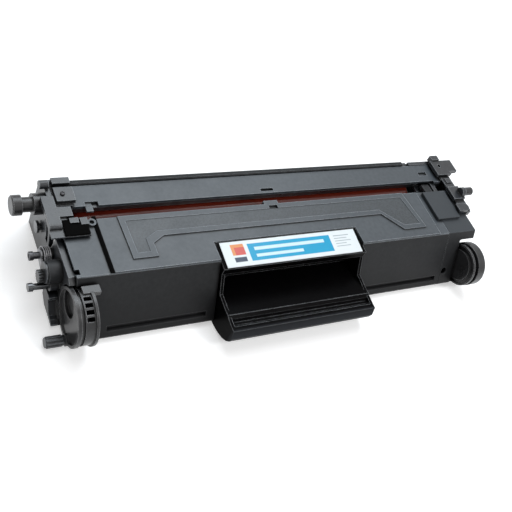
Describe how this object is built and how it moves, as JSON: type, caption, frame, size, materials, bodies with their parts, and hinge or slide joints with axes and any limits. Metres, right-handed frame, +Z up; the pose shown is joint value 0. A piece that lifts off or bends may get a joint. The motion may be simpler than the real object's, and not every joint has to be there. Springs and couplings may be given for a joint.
{
  "type": "toner cartridge",
  "caption": "Long black toner cartridge: hopper with a front grip and label shelf, hinged drum and waste unit behind, gear train at the right end, guide pins at both ends.",
  "frame": {"origin": "on the hopper's flat underside, straight below the top panel's front edge, at the middle of the paper's path", "axes": "+X along the drum towards the drive gears, +Y from the grip towards the drum and waste unit, +Z up from the resting face"},
  "size_m": [0.313, 0.1151, 0.046],
  "materials": {
    "housing_plastic": "fine-grained moulded housing",
    "panel_plastic": "satin moulded panel with a soft sheen",
    "grip_plastic": "semi-gloss moulded grip",
    "frame_plastic": "dark moulded frame",
    "cap_plastic": "worn satin cap",
    "guide_plastic": "grey slippery plastic",
    "label_film": "printed film label, plain fields of colour",
    "gear_plastic": "natural acetal",
    "pin_steel": "ground steel",
    "bracket_steel": "zinc-plated sheet steel",
    "contact_metal": "dull plated contact",
    "dark_screw": "blackened steel",
    "magnet": "plastic-bonded ferrite",
    "sleeve_aluminium": "coated, finely blasted",
    "blade_rubber": "amber polyurethane",
    "roller_rubber": "soft conductive rubber",
    "agitator_film": "thin polyester film",
    "drum_coating": "red-brown organic coating on aluminium"
  },
  "bodies": {
    "toner_unit": {"hopper_shell": "housing_plastic", "hopper_lid": "panel_plastic", "handle_scoop": "grip_plastic", "handle_label": "label_film", "left_end_cover": "frame_plastic", "right_end_cover": "housing_plastic", "left_round_cap": "cap_plastic", "right_round_cap": "cap_plastic", "fill_plug": "frame_plastic", "agitator_pin": "pin_steel", "magnet_core": "magnet", "blade_bracket": "bracket_steel", "doctor_blade": "blade_rubber", "contact_lever": "contact_metal", "lever_screw": "dark_screw", "locating_pin": "frame_plastic", "hinge_pins": "pin_steel"},
    "developer_roller": {"developer_sleeve": "sleeve_aluminium", "developer_gear": "gear_plastic", "gap_rings": "gear_plastic"},
    "agitator": {"agitator_frame": "gear_plastic", "agitator_film": "agitator_film", "agitator_gear": "gear_plastic"},
    "drum_unit": {"waste_housing": "frame_plastic", "waste_lid": "panel_plastic", "rear_rail": "frame_plastic", "wiper_bracket": "bracket_steel", "wiper_rubber": "blade_rubber", "charge_saddles": "gear_plastic", "left_bracket": "frame_plastic", "right_bracket": "frame_plastic", "left_guide_pin": "guide_plastic", "right_guide_pin": "guide_plastic", "drum_pin": "pin_steel", "bracket_screws": "dark_screw"},
    "drum": {"drum_tube": "drum_coating", "drum_gear_flange": "gear_plastic", "drum_hub": "gear_plastic"},
    "charge_roller": {"charge_shaft": "pin_steel", "charge_rubber": "roller_rubber"}
  },
  "joints": [
    {"name": "unit_pivot", "type": "hinge", "parent": "toner_unit", "child": "drum_unit", "pos_m": [0, 0.04, 0.033], "axis": [1, 0, 0], "range_deg": [0, 1.5], "stiffness_Nm_per_rad": 2, "springref_deg": -5.73},
    {"name": "drum_spin", "type": "hinge", "parent": "drum_unit", "child": "drum", "pos_m": [0, 0.05, 0.0155], "axis": [1, 0, 0], "continuous": true},
    {"name": "developer_spin", "type": "hinge", "parent": "toner_unit", "child": "developer_roller", "pos_m": [0, 0.03091, 0.01349], "axis": [1, 0, 0], "continuous": true},
    {"name": "agitator_spin", "type": "hinge", "parent": "toner_unit", "child": "agitator", "pos_m": [0, 0.01036, 0.01675], "axis": [1, 0, 0], "continuous": true},
    {"name": "charge_spin", "type": "hinge", "parent": "drum_unit", "child": "charge_roller", "pos_m": [0, 0.06067, 0.02822], "axis": [1, 0, 0], "continuous": true}
  ],
  "couplings": [
    {"joint": "developer_spin", "follows": "drum_spin", "ratio": -1.6667},
    {"joint": "agitator_spin", "follows": "drum_spin", "ratio": 0.88235},
    {"joint": "charge_spin", "follows": "drum_spin", "ratio": -2.6667}
  ]
}
